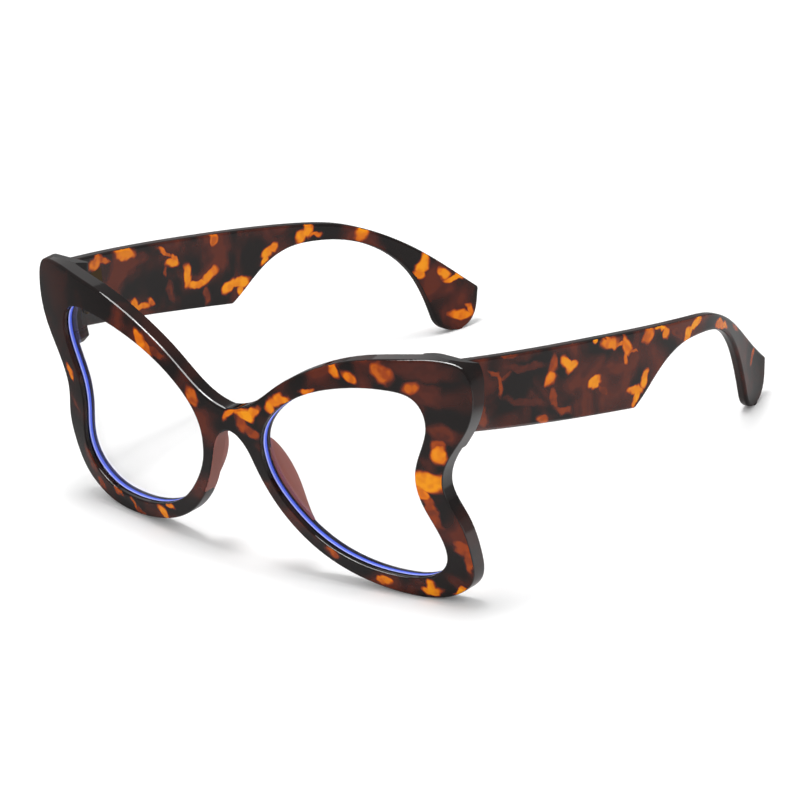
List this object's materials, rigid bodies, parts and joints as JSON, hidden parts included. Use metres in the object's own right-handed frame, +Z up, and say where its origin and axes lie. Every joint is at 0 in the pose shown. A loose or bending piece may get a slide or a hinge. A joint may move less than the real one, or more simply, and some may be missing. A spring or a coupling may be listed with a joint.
{
  "type": "butterfly sunglasses",
  "caption": "butterfly-shaped glasses with thick tortoiseshell plastic front, clear lenses with a blue edge, wide notched folding temples and moulded nose pads",
  "frame": {"origin": "bottom centre of the box round the open glasses, on the table they stand on, in metres", "axes": "+Z up, the front faces -Y, the temples run back along +Y, +X is the wearer's left; the glasses stand on both lower rims and both temple tips"},
  "size_m": [0.1458, 0.1516, 0.0673],
  "materials": {
    "tortoise_acetate": "polished tortoiseshell, near-black brown with amber spots",
    "clear_lens": "clear with a blue reflecting edge",
    "pad_acetate": "polished, translucent pinkish brown",
    "hinge_metal": "satin",
    "screw_metal": "satin"
  },
  "bodies": {
    "front": {"frame_front": "tortoise_acetate", "lens_left": "clear_lens", "lens_right": "clear_lens", "nose_pad_left": "pad_acetate", "nose_pad_right": "pad_acetate", "front_hinge_leaf_left": "hinge_metal", "front_hinge_leaf_right": "hinge_metal", "hinge_screw_left": "screw_metal", "hinge_screw_right": "screw_metal"},
    "left_arm": {"temple_left": "tortoise_acetate", "temple_hinge_leaf_left": "hinge_metal"},
    "right_arm": {"temple_right": "tortoise_acetate", "temple_hinge_leaf_right": "hinge_metal"}
  },
  "joints": [
    {"name": "left_temple_fold", "type": "hinge", "parent": "front", "child": "left_arm", "pos_m": [0.0606, -0.05853, 0.0552], "axis": [0, 0, 1], "range_deg": [0, 84]},
    {"name": "right_temple_fold", "type": "hinge", "parent": "front", "child": "right_arm", "pos_m": [-0.0606, -0.05853, 0.0552], "axis": [0, 0, -1], "range_deg": [0, 69]}
  ]
}
